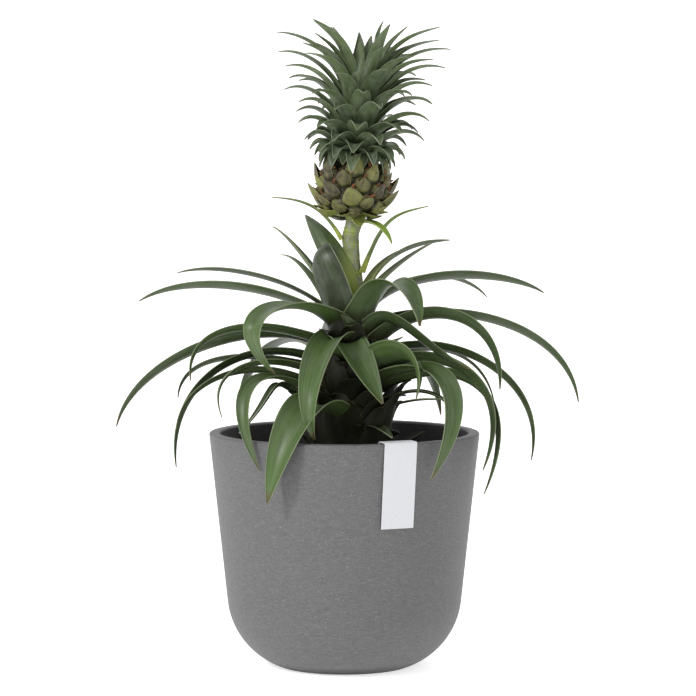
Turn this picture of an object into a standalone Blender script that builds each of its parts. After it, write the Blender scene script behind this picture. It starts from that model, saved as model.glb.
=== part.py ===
"""Potted pineapple plant: a small fruiting pineapple in a nursery pot, standing in a planter.

Units are metres and +Z is up. The origin is the centre of the planter's flat base. Azimuths are
degrees about +Z from +X, so 270 degrees is the front of the plant, the side of the label.
"""

import math
import random

import bmesh
import bpy
from mathutils import Matrix, Vector

MM = 0.001
GAP = 0.3 * MM  # clearance between pieces that touch

# Planter: an even wall that tapers down to a rounded foot
POT_HEIGHT = 172.5 * MM
RIM_RADIUS = 100 * MM
WALL_TAPER = math.radians(6.1)
POT_WALL = 8 * MM
FOOT_ARC_HEIGHT = 47.5 * MM  # where the straight wall runs into the rounded foot
FOOT_ARC_RADIUS = 57 * MM
FOOT_ARC_STEPS = 5
RIM_ROUNDING = 1.2 * MM
RIM_STEPS = 2
TURN_STEPS = 40
STEM_TURN_STEPS = 24
CROWN_TURN_STEPS = 20

# Nursery pot and its soil
NURSERY_HEIGHT = 130 * MM
NURSERY_TOP_RADIUS = 68 * MM
NURSERY_BASE_RADIUS = 45 * MM
NURSERY_WALL = 1.5 * MM
NURSERY_LIP = 3 * MM
SOIL_BELOW_LIP = 8 * MM

# Label strap, folded over the planter's rim
LABEL_WIDTH = 25 * MM
LABEL_DROP = 62 * MM
LABEL_TAIL = 16 * MM
LABEL_THICKNESS = 0.8 * MM
LABEL_AZIMUTH = 293.5

# Stem, fruit stalk and fruit
PLANT_X = 4 * MM  # the stem stands a little to the right of the planter's axis
STEM_TOP = 265 * MM
STEM_BASE_RADIUS = 20 * MM
STEM_TOP_RADIUS = 8.5 * MM
STALK_RADIUS = 6.5 * MM
STALK_TOP = 331 * MM
# The stalk's centre line: x and height in millimetres
STALK_COURSE = [(4, 265.3), (4, 270), (7.5, 282), (5, 304), (4.5, 316), (7, 328), (7, 331)]
FRUIT_X = 7 * MM
FRUIT_HEIGHT = 41 * MM
FRUIT_RADIUS = 25 * MM
FRUIT_NECK_RADIUS = 9 * MM
FRUIT_STEPS = 10  # facets from the fruit's top to its foot

# Crown
CROWN_LEAN = math.radians(6)
CROWN_STEM_HEIGHT = 68 * MM
CROWN_STEM_BASE_RADIUS = 8 * MM
CROWN_STEM_TOP_RADIUS = 3.5 * MM
COLLAR_HEIGHT = 3 * MM
CROWN_ROOM_SHARE = 0.85  # the most a crown leaf takes of the room between its neighbours

# Leaf blades
BLADE_THICKNESS = 1.0 * MM
BLADE_CELLS = 8
BRACT_CELLS = 6
CROWN_CELLS = 5
CHANNEL_DEPTH = 0.4  # how far the edges stand above the midrib, as a share of the half width
WIDEST_SHARE = 0.33
POINT_CURVE = 1.7  # above 1 the long point is fuller than a straight taper
FLAT_FOOT_SHARE = 0.12  # the foot is flat against the stem, and the channel opens over this share
ROLL_SHARE = 0.3  # a blade has its whole roll from this share of its length
TIP_HALF_WIDTH = 0.5 * MM
FOOT_HALF_WIDTH = 3 * MM

# Rosette leaves. Each midrib is one Bezier arch: it leaves the stem at its foot with the launch angle,
# keeps that course for its rise, and comes into its tip at the droop angle over its fall. Angles are
# above the horizontal, out and up place the tip from the stem's axis and the ground, and the swerve
# turns the tip sideways. The roll turns the blade about its midrib. Lengths are millimetres and angles
# are degrees.
# azimuth, foot, launch, rise, out, up, droop, fall, width, swerve, roll
LEAVES = [
    # left side
    (165, 245, 70, 30, 164, 268, -30, 50, 17, 0, 30),
    (155, 250, 75, 30, 144, 288, -15, 40, 11, 0, 25),
    (192, 230, 65, 20, 120, 212, -95, 60, 15, 0, 20),
    (178, 225, 65, 45, 174, 176, -75, 65, 16, 0, 30),
    (189, 216, 45, 50, 130, 148, -95, 80, 14, 0, 20),
    (203, 206, 50, 35, 102, 186, -110, 55, 14, 0, 0),
    (172, 214, 55, 10, 130, 196, -85, 50, 9, 0, 10),
    (195, 196, 45, 55, 132, 178, -80, 45, 11, 0, 15),
    (205, 180, 40, 75, 90, 176, -40, 55, 16, 0, 0),
    # front
    (214, 188, 45, 65, 105, 152, -108, 80, 15, 18, 0),
    (228, 244, 70, 40, 82, 218, -140, 95, 26, 0, 0),
    (239, 176, 45, 80, 116, 131, -90, 62, 26, 1, 0),
    (248, 238, 70, 45, 92, 174, -125, 50, 23, 6, 0),
    (283, 238, 62, 12, 40, 262, 45, 15, 7, -22, 0),
    (302, 243, 76, 8, 20, 254, 70, 6, 6, 0, 0),
    (286, 226, 62, 50, 58, 200, -60, 50, 21, 8, 0),
    (300, 172, 30, 20, 62, 174, -20, 20, 12, 0, 0),
    (310, 211, 40, 20, 86, 203, -85, 45, 17, -6, 0),
    (317, 226, 45, 20, 52, 246, 35, 10, 6, 0, 0),
    (315, 248, 75, 60, 74, 254, -80, 40, 27, 0, 0),
    # right side
    (325, 202, 48, 55, 104, 146, -112, 90, 20, -21, 0),
    (330, 237, 68, 50, 100, 224, -15, 50, 13, 0, -20),
    (332, 182, 40, 25, 84, 200, 0, 25, 7, 0, 0),
    (338, 209, 57, 40, 106, 148, -110, 95, 12, 0, -10),
    (345, 196, 50, 45, 106, 130, -110, 110, 11, -6, -10),
    (345, 188, 45, 30, 84, 178, -75, 35, 8, 0, 0),
    (356, 220, 55, 45, 135, 152, -100, 80, 14, 0, -15),
    (347, 228, 58, 50, 114, 206, -90, 65, 17, 0, -20),
    (10, 242, 70, 30, 175, 192, -80, 80, 14, 0, -25),
    (17, 212, 50, 35, 114, 192, -75, 55, 7, 0, 0),
    (20, 252, 75, 45, 156, 274, -30, 35, 15, 0, -25),
    # back
    (30, 262, 80, 45, 86, 314, 5, 25, 17, 0, -20),
    (42, 249, 75, 45, 142, 268, -40, 40, 11, 0, -15),
    (50, 256, 80, 25, 106, 312, 10, 20, 9, 0, -10),
    (58, 208, 55, 60, 135, 175, -75, 55, 17, 0, 0),
    (78, 214, 55, 60, 150, 195, -65, 60, 17, 0, 0),
    (98, 222, 60, 60, 160, 190, -65, 60, 17, 0, 0),
    (225, 252, 72, 48, 36, 284, -70, 45, 22, -60, 0),
    (126, 210, 55, 60, 150, 180, -70, 60, 17, 0, 0),
    (127, 240, 66, 35, 88, 301, -5, 25, 8, 0, 0),
    (150, 258, 80, 15, 66, 324, 5, 10, 11, 0, 20),
    (195, 263, 85, 25, 42, 330, 35, 45, 18, 0, 10),
]

# Bracts on the fruit stalk, in the same terms, with their feet on the stalk
STALK_BRACTS = [
    (178, 314, 65, 30, 58, 346, 5, 20, 8, 0, 0),
    (355, 290, 72, 45, 55, 340, 15, 25, 10, 0, 0),
    (320, 327, 15, 10, 37, 312, -62, 14, 8, 0, 0),
]

# Crown leaves in whorls, from the fruit up. Heights are along the crown's leaning axis, above the
# fruit: leaves, first azimuth, foot, launch, rise, out, up, droop, fall, width
CROWN_WHORLS = [
    (10, 10, 2, 38, 24, 40, 6, -65, 16, 10),
    (10, 28, 9, 45, 28, 48, 28, -50, 18, 11),
    (10, 10, 16, 52, 32, 54, 47, -35, 20, 12),
    (10, 28, 24, 58, 34, 60, 64, -15, 20, 12),
    (10, 10, 32, 63, 36, 64, 78, 0, 22, 12),
    (9, 20, 40, 68, 36, 58, 92, 15, 20, 11),
    (7, 5, 49, 76, 28, 30, 98, 50, 18, 10),
]
CROWN_VARIATION = 0.08  # how far a crown leaf's reach and height may stray from its whorl's
CROWN_SEED = 5

scene = bpy.context.scene


def clear_scene():
    for item in list(bpy.data.objects):
        bpy.data.objects.remove(item, do_unlink=True)


def new_collection(name):
    group = bpy.data.collections.new(name)
    scene.collection.children.link(group)
    return group


def make_material(name, colour, roughness):
    material = bpy.data.materials.new(name)
    material.use_nodes = True
    shader = material.node_tree.nodes["Principled BSDF"]
    shader.inputs["Base Color"].default_value = (*colour, 1)
    shader.inputs["Roughness"].default_value = roughness
    shader.inputs["Metallic"].default_value = 0
    return material


def add_part(name, mesh, colour, roughness, location=(0, 0, 0)):
    part = bpy.data.objects.new(name, mesh)
    part.location = location
    parts.objects.link(part)
    part.data.materials.append(make_material(name, colour, roughness))
    return part


def turned(name, profile, colour, roughness, location=(0, 0, 0), steps=TURN_STEPS):
    """A solid turned about Z from (radius, height) points that run down its outer side."""
    mesh = bpy.data.meshes.new(name)
    points = [(radius, 0, height) for radius, height in profile]
    mesh.from_pydata(points, [(i, i + 1) for i in range(len(points) - 1)], [])
    part = add_part(name, mesh, colour, roughness, location)
    screw = part.modifiers.new("Turn", "SCREW")
    screw.axis = "Z"
    screw.steps = steps
    screw.render_steps = steps
    screw.use_merge_vertices = True
    screw.merge_threshold = 0.01 * MM
    return part


def arc(centre, radius, start, end, count):
    """Points along an arc in the profile plane, from one angle to the other in degrees."""
    points = []
    for i in range(count + 1):
        angle = math.radians(start + (end - start) * i / count)
        points.append((centre[0] + radius * math.cos(angle), centre[1] + radius * math.sin(angle)))
    return points


def wall_radius(height, inset=0):
    """The planter's straight wall: its radius at a height, inset square to the wall."""
    return RIM_RADIUS - (POT_HEIGHT - height) * math.tan(WALL_TAPER) - inset / math.cos(WALL_TAPER)


def foot_arc(inset, floor):
    """The rounded foot, from the straight wall down to a flat floor, inset by a wall thickness."""
    centre_radius = wall_radius(FOOT_ARC_HEIGHT) - FOOT_ARC_RADIUS * math.cos(WALL_TAPER)
    centre_height = FOOT_ARC_HEIGHT + FOOT_ARC_RADIUS * math.sin(WALL_TAPER)
    radius = FOOT_ARC_RADIUS - inset
    end = -math.degrees(math.asin((centre_height - floor) / radius))
    return arc((centre_radius, centre_height), radius, -math.degrees(WALL_TAPER), end, FOOT_ARC_STEPS)


def make_planter():
    top = POT_HEIGHT - RIM_ROUNDING
    outer_edge = arc((wall_radius(top) - RIM_ROUNDING, top), RIM_ROUNDING, 90, 0, RIM_STEPS)
    inner_edge = arc((wall_radius(top, POT_WALL) + RIM_ROUNDING, top), RIM_ROUNDING, 180, 90, RIM_STEPS)
    outside = outer_edge + foot_arc(0, 0) + [(0, 0)]
    inside = [(0, POT_WALL)] + foot_arc(POT_WALL, POT_WALL)[::-1] + inner_edge
    turned("planter", outside + inside + outside[:1], (0.15, 0.15, 0.15), 0.6)


def make_nursery_pot():
    floor = POT_WALL + GAP
    top = floor + NURSERY_HEIGHT
    lip = NURSERY_TOP_RADIUS + NURSERY_LIP
    inner_top = NURSERY_TOP_RADIUS - NURSERY_WALL
    inner_base = NURSERY_BASE_RADIUS - NURSERY_WALL
    profile = [
        (inner_top, top), (lip, top), (lip, top - 2 * NURSERY_LIP),
        (NURSERY_TOP_RADIUS - NURSERY_WALL / 2, top - 2 * NURSERY_LIP),
        (NURSERY_BASE_RADIUS, floor), (0, floor), (0, floor + NURSERY_WALL),
        (inner_base, floor + NURSERY_WALL), (inner_top, top),
    ]
    turned("nursery_pot", profile, (0.02, 0.02, 0.02), 0.5)
    return floor, top


def make_soil(floor, top):
    base = floor + NURSERY_WALL + GAP
    surface = top - SOIL_BELOW_LIP
    slope = (NURSERY_TOP_RADIUS - NURSERY_BASE_RADIUS) / NURSERY_HEIGHT
    clearance = NURSERY_WALL + 2 * GAP
    base_radius = NURSERY_BASE_RADIUS + slope * (base - floor) - clearance
    surface_radius = NURSERY_TOP_RADIUS - slope * SOIL_BELOW_LIP - clearance
    profile = [(0, surface), (surface_radius, surface), (base_radius, base), (0, base)]
    turned("soil", profile, (0.03, 0.02, 0.015), 0.95)
    return surface


def make_label():
    """A plain strap: the outline of its folded edge, extruded to the strap's width."""
    outer = wall_radius(POT_HEIGHT) + GAP
    bulge = LABEL_WIDTH ** 2 / 8 / (RIM_RADIUS - POT_WALL)  # the flat strap stands off the round wall
    inner = wall_radius(POT_HEIGHT, POT_WALL) - bulge - 2 * GAP
    lean = math.tan(WALL_TAPER)
    over = POT_HEIGHT + GAP
    thick = LABEL_THICKNESS
    # (distance from the planter's axis, height) round the edge of the folded strap
    outline = [
        (outer, over), (outer - LABEL_DROP * lean, over - LABEL_DROP),
        (outer - LABEL_DROP * lean + thick, over - LABEL_DROP), (outer + thick, over + thick),
        (inner - thick, over + thick), (inner - thick - LABEL_TAIL * lean, over - LABEL_TAIL),
        (inner - LABEL_TAIL * lean, over - LABEL_TAIL), (inner, over),
    ]
    curve = bpy.data.curves.new("label_strap", "CURVE")
    curve.dimensions = "2D"
    curve.fill_mode = "BOTH"
    curve.extrude = LABEL_WIDTH / 2
    spline = curve.splines.new("POLY")
    spline.points.add(len(outline) - 1)
    for point, (distance, height) in zip(spline.points, outline):
        point.co = (distance, height, 0, 1)
    spline.use_cyclic_u = True
    part = add_part("label_strap", curve, (0.85, 0.85, 0.82), 0.4)
    upright = Matrix.Rotation(math.radians(90), 4, "X")
    part.matrix_world = Matrix.Rotation(math.radians(LABEL_AZIMUTH), 4, "Z") @ upright


def stem_radius(height):
    share = (height - soil_surface) / (STEM_TOP - soil_surface)
    return STEM_BASE_RADIUS + share * (STEM_TOP_RADIUS - STEM_BASE_RADIUS)


def make_stem():
    base = soil_surface + GAP
    profile = [(0, STEM_TOP), (STEM_TOP_RADIUS, STEM_TOP), (STEM_BASE_RADIUS, base), (0, base)]
    turned("stem_base", profile, (0.25, 0.3, 0.12), 0.6, (PLANT_X, 0, 0), STEM_TURN_STEPS)


def make_stalk():
    """The fruit's stalk: a round rod that leans a little and comes back under the fruit."""
    curve = bpy.data.curves.new("fruit_stalk", "CURVE")
    curve.dimensions = "3D"
    curve.bevel_depth = STALK_RADIUS
    curve.bevel_resolution = 3
    curve.use_fill_caps = True
    spline = curve.splines.new("POLY")
    spline.points.add(len(STALK_COURSE) - 1)
    for point, (x, height) in zip(spline.points, STALK_COURSE):
        point.co = (x * MM, 0, height * MM, 1)
    add_part("fruit_stalk", curve, (0.3, 0.33, 0.15), 0.6)


def make_fruit():
    """A barrel with round shoulders, flat where the stalk and the crown meet it."""
    base = STALK_TOP + 3 * GAP
    middle = base + FRUIT_HEIGHT / 2
    shoulder = math.degrees(math.acos(FRUIT_NECK_RADIUS / FRUIT_RADIUS))
    rounding = FRUIT_HEIGHT / 2 / math.sin(math.radians(shoulder))
    profile = [(0, base + FRUIT_HEIGHT)]
    for i in range(FRUIT_STEPS + 1):
        angle = math.radians(shoulder * (1 - 2 * i / FRUIT_STEPS))
        profile.append((FRUIT_RADIUS * math.cos(angle), middle + rounding * math.sin(angle)))
    profile.append((0, base))
    turned("fruit", profile, (0.3, 0.25, 0.1), 0.6, (FRUIT_X, 0, 0), STEM_TURN_STEPS)
    return base + FRUIT_HEIGHT


def stalk_x(height):
    """Where the stalk's centre line stands at a height."""
    for (x0, low), (x1, high) in zip(STALK_COURSE, STALK_COURSE[1:]):
        if height <= high:
            break
    return (x0 + (x1 - x0) * (height - low) / (high - low)) * MM


def bezier(points, t):
    a, b, c, d = points
    s = 1 - t
    return a * s ** 3 + b * 3 * s * s * t + c * 3 * s * t * t + d * t ** 3


def bezier_slope(points, t):
    a, b, c, d = points
    s = 1 - t
    return ((b - a) * s * s + (c - b) * 2 * s * t + (d - c) * t * t).normalized()


def arch(root_radius, foot, launch, rise, out, up, droop, fall):
    """The four Bezier points of a midrib, as (out, up) from the stem's axis and the ground."""
    start = Vector((root_radius, foot * MM))
    end = Vector((out * MM, up * MM))
    launch = math.radians(launch)
    droop = math.radians(droop)
    leave = start + Vector((math.cos(launch), math.sin(launch))) * rise * MM
    arrive = end - Vector((math.cos(droop), math.sin(droop))) * fall * MM
    return start, leave, arrive, end


def half_width(t, width):
    """A blade: a narrow foot, its full width at a third of its length, then a long point."""
    full = width * MM / 2
    foot = min(FOOT_HALF_WIDTH, full)
    if t < WIDEST_SHARE:
        return foot + (full - foot) * math.sin(t / WIDEST_SHARE * math.pi / 2)
    return full + (TIP_HALF_WIDTH - full) * ((t - WIDEST_SHARE) / (1 - WIDEST_SHARE)) ** POINT_CURVE


def blade_point(course, azimuth, swerve, roll, t, across, half):
    """A point of a channelled blade, across running from -1 at one edge to 1 at the other."""
    turn = math.radians(azimuth + swerve * t * t)
    roll = math.radians(roll) * min(1, t / ROLL_SHARE)
    outward = Vector((math.cos(turn), math.sin(turn), 0))
    side = Vector((-math.sin(turn), math.cos(turn), 0))
    place = bezier(course, t)
    slope = bezier_slope(course, t)
    along = outward * slope.x + Vector((0, 0, slope.y))
    normal = along.cross(side)
    middle = outward * place.x + Vector((0, 0, place.y))
    edge = side * math.cos(roll) - normal * math.sin(roll)
    rise = normal * math.cos(roll) + side * math.sin(roll)
    depth = half * CHANNEL_DEPTH * min(1, t / FLAT_FOOT_SHARE)
    return middle + edge * across * half + rise * (abs(across) - 0.5) * depth


def add_thickness(part, thickness):
    solidify = part.modifiers.new("Thickness", "SOLIDIFY")
    solidify.thickness = thickness
    solidify.offset = 0


def make_blade(name, centre, row, root_radius, cells, colour):
    """One leaf: a grid laid along its midrib, given its thickness by Solidify."""
    azimuth, foot, launch, rise, out, up, droop, fall, width, swerve, roll = row
    course = arch(root_radius, foot, launch, rise, out, up, droop, fall)
    grid = bmesh.new()
    bmesh.ops.create_grid(grid, x_segments=cells, y_segments=2, size=1)
    for vertex in grid.verts:
        t = (vertex.co.x + 1) / 2
        half = half_width(t, width)
        vertex.co = blade_point(course, azimuth, swerve, roll, t, vertex.co.y, half) + centre
    mesh = bpy.data.meshes.new(name)
    grid.to_mesh(mesh)
    grid.free()
    add_thickness(add_part(name, mesh, colour, 0.5), BLADE_THICKNESS)


def make_leaves():
    for number, row in enumerate(LEAVES, 1):
        root = stem_radius(row[1] * MM) + GAP + BLADE_THICKNESS / 2
        centre = Vector((PLANT_X, 0, 0))
        make_blade(f"leaf_{number:02d}", centre, row, root, BLADE_CELLS, (0.12, 0.2, 0.06))


def make_stalk_bracts():
    for number, row in enumerate(STALK_BRACTS, 1):
        root = STALK_RADIUS + GAP + BLADE_THICKNESS / 2
        centre = Vector((stalk_x(row[1]), 0, 0))
        make_blade(f"stalk_bract_{number}", centre, row, root, BRACT_CELLS, (0.2, 0.25, 0.08))


def crown_frame(fruit_top):
    """The crown's own axes: it stands on the fruit and leans to the right."""
    return Matrix.Translation((FRUIT_X, 0, fruit_top)) @ Matrix.Rotation(CROWN_LEAN, 4, "Y")


def crown_stem_radius(up):
    share = up / CROWN_STEM_HEIGHT
    return CROWN_STEM_BASE_RADIUS + share * (CROWN_STEM_TOP_RADIUS - CROWN_STEM_BASE_RADIUS)


def make_crown_stem(frame):
    foot = 3 * GAP
    profile = [
        (0, CROWN_STEM_HEIGHT), (CROWN_STEM_TOP_RADIUS, CROWN_STEM_HEIGHT),
        (CROWN_STEM_BASE_RADIUS, foot), (0, foot),
    ]
    part = turned("crown_stem", profile, (0.3, 0.35, 0.15), 0.6, steps=CROWN_TURN_STEPS)
    part.matrix_world = frame


def make_whorl(name, frame, row, chance):
    """A collar round the crown's stem whose sectors run out into leaves."""
    count, first, foot, launch, rise, out, up, droop, fall, width = row
    collar_radius = crown_stem_radius(foot * MM) + 2 * GAP + BLADE_THICKNESS / 2
    sheet = bmesh.new()
    for leaf in range(count):
        azimuth = first + 360 / count * leaf
        reach = out * (1 + CROWN_VARIATION * chance.uniform(-1, 1))
        height = up * (1 + CROWN_VARIATION * chance.uniform(-1, 1))
        root = foot + COLLAR_HEIGHT / MM
        course = arch(collar_radius, root, launch, rise, reach, height, droop, fall)
        grid = bmesh.ops.create_grid(sheet, x_segments=CROWN_CELLS, y_segments=2, size=1)
        for vertex in grid["verts"]:
            row_number = round((vertex.co.x + 1) / 2 * CROWN_CELLS)
            across = vertex.co.y
            if row_number < 2:
                turn = math.radians(azimuth + across * 180 / count)
                level = foot * MM + row_number * COLLAR_HEIGHT
                vertex.co = (collar_radius * math.cos(turn), collar_radius * math.sin(turn), level)
            else:
                t = (row_number - 1) / (CROWN_CELLS - 1)
                place = bezier(course, t)
                room = place.x * math.sin(math.pi / count) * CROWN_ROOM_SHARE
                half = min(half_width(t, width), room)
                vertex.co = blade_point(course, azimuth, 0, 0, t, across, half)
    bmesh.ops.remove_doubles(sheet, verts=sheet.verts, dist=0.01 * MM)
    mesh = bpy.data.meshes.new(name)
    sheet.to_mesh(mesh)
    sheet.free()
    part = add_part(name, mesh, (0.1, 0.18, 0.08), 0.5)
    part.matrix_world = frame
    add_thickness(part, BLADE_THICKNESS)


def make_crown(fruit_top):
    frame = crown_frame(fruit_top)
    make_crown_stem(frame)
    chance = random.Random(CROWN_SEED)
    for number, row in enumerate(CROWN_WHORLS, 1):
        make_whorl(f"crown_whorl_{number}", frame, row, chance)


clear_scene()
parts = new_collection("potted_pineapple")
make_planter()
nursery_floor, nursery_top = make_nursery_pot()
soil_surface = make_soil(nursery_floor, nursery_top)
make_label()
make_stem()
make_stalk()
crown_base = make_fruit()
make_leaves()
make_stalk_bracts()
make_crown(crown_base)
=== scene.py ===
# %% [markdown]
# # A potted pineapple plant, dressed for its portrait
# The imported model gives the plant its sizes: a planter, a nursery pot inside it, a rosette of arching
# leaves, a stalk, a fruit and a leafy crown. Here each plain solid gets a modelled piece with a real
# finish. Everything is in metres, in the one frame that the solids share.

import math
import random

import bmesh
import bpy
from mathutils import Matrix, Vector


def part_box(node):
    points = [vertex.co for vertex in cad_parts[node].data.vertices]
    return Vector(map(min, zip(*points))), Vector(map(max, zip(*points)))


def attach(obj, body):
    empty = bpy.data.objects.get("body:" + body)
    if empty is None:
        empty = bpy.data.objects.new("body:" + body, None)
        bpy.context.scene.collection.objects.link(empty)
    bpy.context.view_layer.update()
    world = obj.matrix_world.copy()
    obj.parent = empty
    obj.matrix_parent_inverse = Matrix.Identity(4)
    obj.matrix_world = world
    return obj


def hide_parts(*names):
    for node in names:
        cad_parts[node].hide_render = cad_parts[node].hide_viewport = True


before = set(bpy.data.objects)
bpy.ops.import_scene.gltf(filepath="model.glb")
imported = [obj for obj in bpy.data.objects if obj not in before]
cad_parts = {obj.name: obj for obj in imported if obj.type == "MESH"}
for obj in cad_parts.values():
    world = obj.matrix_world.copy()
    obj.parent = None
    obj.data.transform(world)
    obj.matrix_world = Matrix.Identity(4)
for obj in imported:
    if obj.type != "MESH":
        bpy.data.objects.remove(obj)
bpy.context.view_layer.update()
MM = 0.001

# %% [markdown]
# ## Small tools
# An operator acts on whatever is selected, and loading leaves the whole plant selected. So each step
# starts by selecting one piece and nothing else. Modifiers are applied as soon as they are added,
# which keeps every finished piece a plain mesh.


# %% Select, apply, finish
def pick(*pieces):
    """Selects these pieces and nothing else, the last one active."""
    bpy.ops.object.select_all(action="DESELECT")
    for piece in pieces:
        piece.select_set(True)
        bpy.context.view_layer.objects.active = piece


def apply_modifier(piece, kind, **settings):
    """Adds one modifier with these settings and applies it at once."""
    pick(piece)
    modifier = piece.modifiers.new(kind.title(), kind)
    for name, value in settings.items():
        setattr(modifier, name, value)
    bpy.ops.object.modifier_apply(modifier=modifier.name)


def edit(piece):
    """Opens the piece for vertex work."""
    pick(piece)
    bpy.ops.object.mode_set(mode="EDIT")
    bpy.ops.mesh.select_mode(type="VERT")


def leave_edit():
    bpy.ops.object.mode_set(mode="OBJECT")


def select_where(piece, test):
    """In edit mode, selects the vertices whose place passes the test."""
    mesh = bmesh.from_edit_mesh(piece.data)
    for vertex in mesh.verts:
        vertex.select = test(vertex.co)
    mesh.select_flush_mode()
    bmesh.update_edit_mesh(piece.data)


def copy_of(piece, name):
    """A copy with its own mesh."""
    twin = bpy.data.objects.new(name, piece.data.copy())
    bpy.context.scene.collection.objects.link(twin)
    return twin


def join(name, pieces):
    """Makes one named piece of several."""
    pick(*pieces)
    bpy.ops.object.join()
    whole = bpy.context.object
    whole.name = name
    return whole


def smooth(piece, angle=50):
    """Shades smooth across edges that bend by less than the angle, in degrees."""
    pick(piece)
    bpy.ops.object.shade_smooth_by_angle(angle=math.radians(angle))


def stands_for(piece, slot, *nodes):
    """The finished piece rides on the plant's one body and stands for these solids."""
    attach(piece, "root")
    if nodes:
        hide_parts(*nodes)


print("tools ready")

# %% [markdown]
# ## Round pieces
# The planter, the nursery pot and the soil are all turned shapes. They could be spun from a profile,
# but raising one ring after another from a round base keeps the shell closed at every step.


# %% Raise a round piece ring by ring
def raise_rings(name, outline, sides):
    """A closed round piece: a disc extruded from each (radius, height) to the next."""
    radius, height = outline[0]
    bpy.ops.object.select_all(action="DESELECT")
    bpy.ops.mesh.primitive_circle_add(
        vertices=sides, radius=radius, fill_type="NGON", location=(0, 0, height))
    piece = bpy.context.object
    piece.name = name
    bpy.ops.object.transform_apply(location=True)
    edit(piece)
    bpy.ops.mesh.select_all(action="SELECT")
    for next_radius, next_height in outline[1:]:
        bpy.ops.mesh.extrude_region_move(
            TRANSFORM_OT_translate={"value": (0, 0, next_height - height)})
        share = next_radius / radius
        bpy.ops.transform.resize(value=(share, share, 1), center_override=(0, 0, next_height))
        radius, height = next_radius, next_height
    bpy.ops.mesh.select_all(action="SELECT")
    bpy.ops.mesh.normals_make_consistent(inside=False)
    leave_edit()
    return piece


def arc(centre, radius, start, end, count):
    """Points along an arc of the outline, from one angle to the other in degrees."""
    points = []
    for step in range(count + 1):
        angle = math.radians(start + (end - start) * step / count)
        points.append((centre[0] + radius * math.cos(angle), centre[1] + radius * math.sin(angle)))
    return points


print("rings ready")

# %% [markdown]
# ## The planter
# A thick-walled planter with straight sides that lean in by six degrees and run into a rounded foot.
# The rim is a flat ledge with two soft edges.

# %% Planter
RIM_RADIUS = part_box("planter")[1][0]
POT_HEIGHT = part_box("planter")[1][2]
WALL_TAPER = math.radians(6.1)
POT_WALL = 8 * MM
FOOT_ARC_HEIGHT = 47.5 * MM
FOOT_ARC_RADIUS = 57 * MM
WALL_STEPS = 8
RIM_ROUNDING = 1.5 * MM
POT_SIDES = 160


def wall_radius(height, inset=0):
    """The straight wall: its radius at a height, inset square to the wall."""
    return RIM_RADIUS - (POT_HEIGHT - height) * math.tan(WALL_TAPER) - inset / math.cos(WALL_TAPER)


def foot_arc(inset, floor, count):
    """The rounded foot, from the flat floor up to the straight wall."""
    centre_radius = wall_radius(FOOT_ARC_HEIGHT) - FOOT_ARC_RADIUS * math.cos(WALL_TAPER)
    centre_height = FOOT_ARC_HEIGHT + FOOT_ARC_RADIUS * math.sin(WALL_TAPER)
    radius = FOOT_ARC_RADIUS - inset
    end = -math.degrees(math.asin((centre_height - floor) / radius))
    return arc((centre_radius, centre_height), radius, end, -math.degrees(WALL_TAPER), count)


rim = POT_HEIGHT - RIM_ROUNDING
outline = foot_arc(0, 0, 20)
for step in range(1, WALL_STEPS):
    height = FOOT_ARC_HEIGHT + (rim - FOOT_ARC_HEIGHT) * step / WALL_STEPS
    outline.append((wall_radius(height), height))
outline += arc((wall_radius(rim) - RIM_ROUNDING, rim), RIM_ROUNDING, 0, 90, 5)
outline += arc((wall_radius(rim, POT_WALL) + RIM_ROUNDING, rim), RIM_ROUNDING, 90, 180, 5)
outline += foot_arc(POT_WALL, POT_WALL, 12)[::-1]
planter = raise_rings("planter_shell", outline, POT_SIDES)
smooth(planter, 40)
stands_for(planter, "planter_shell", "planter")
print("planter:", len(planter.data.polygons), "faces")

# %% [markdown]
# ## The nursery pot
# The plant still stands in the thin black pot it was grown in. Its rim is a rolled lip, and the wall
# is thin enough that its edge shows as a bright line.

# %% Nursery pot
pot_low, pot_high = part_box("nursery_pot")
NURSERY_WALL = 1.5 * MM
NURSERY_LIP = 3 * MM
nursery_floor = pot_low[2]
nursery_top = pot_high[2]
nursery_radius = pot_high[0] - NURSERY_LIP
nursery_base = 45 * MM
lip_depth = 2 * NURSERY_LIP
inner_top = nursery_radius - NURSERY_WALL
outline = [
    (nursery_base - 1 * MM, nursery_floor), (nursery_base, nursery_floor + 1 * MM),
    (nursery_radius - NURSERY_WALL / 2, nursery_top - lip_depth),
    (nursery_radius + NURSERY_LIP - 0.5 * MM, nursery_top - lip_depth),
    (nursery_radius + NURSERY_LIP, nursery_top - lip_depth + 0.5 * MM),
    (nursery_radius + NURSERY_LIP, nursery_top - 0.6 * MM),
    (nursery_radius + NURSERY_LIP - 0.6 * MM, nursery_top),
    (inner_top + 0.5 * MM, nursery_top), (inner_top, nursery_top - 0.5 * MM),
    (nursery_base - NURSERY_WALL, nursery_floor + NURSERY_WALL),
]
nursery = raise_rings("nursery_pot_thin", outline, 96)
smooth(nursery, 35)
stands_for(nursery, "nursery_pot_plastic", "nursery_pot")
print("nursery pot:", len(nursery.data.polygons), "faces")

# %% [markdown]
# ## The soil
# Peat with bark in it is a rough surface, so the top is a disc of rings whose points are jittered,
# and loose crumbs lie on it. One crumb is modelled and copied at seeded places.

# %% Soil bed and crumbs
soil_low, soil_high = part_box("soil")
soil_level = soil_high[2]
soil_radius = soil_high[0]
SOIL_RINGS = 16
CRUMBS = 260
outline = [(nursery_base - 4 * MM, soil_low[2]), (soil_radius, soil_level - 1 * MM)]
outline += [(soil_radius * (1 - ring / SOIL_RINGS), soil_level) for ring in range(1, SOIL_RINGS)]
soil = raise_rings("soil_bed", outline, 96)
edit(soil)
select_where(soil, lambda place: place.z > soil_level - 0.5 * MM)
bpy.ops.transform.vertex_random(offset=1.6 * MM, seed=4)
leave_edit()

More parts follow.
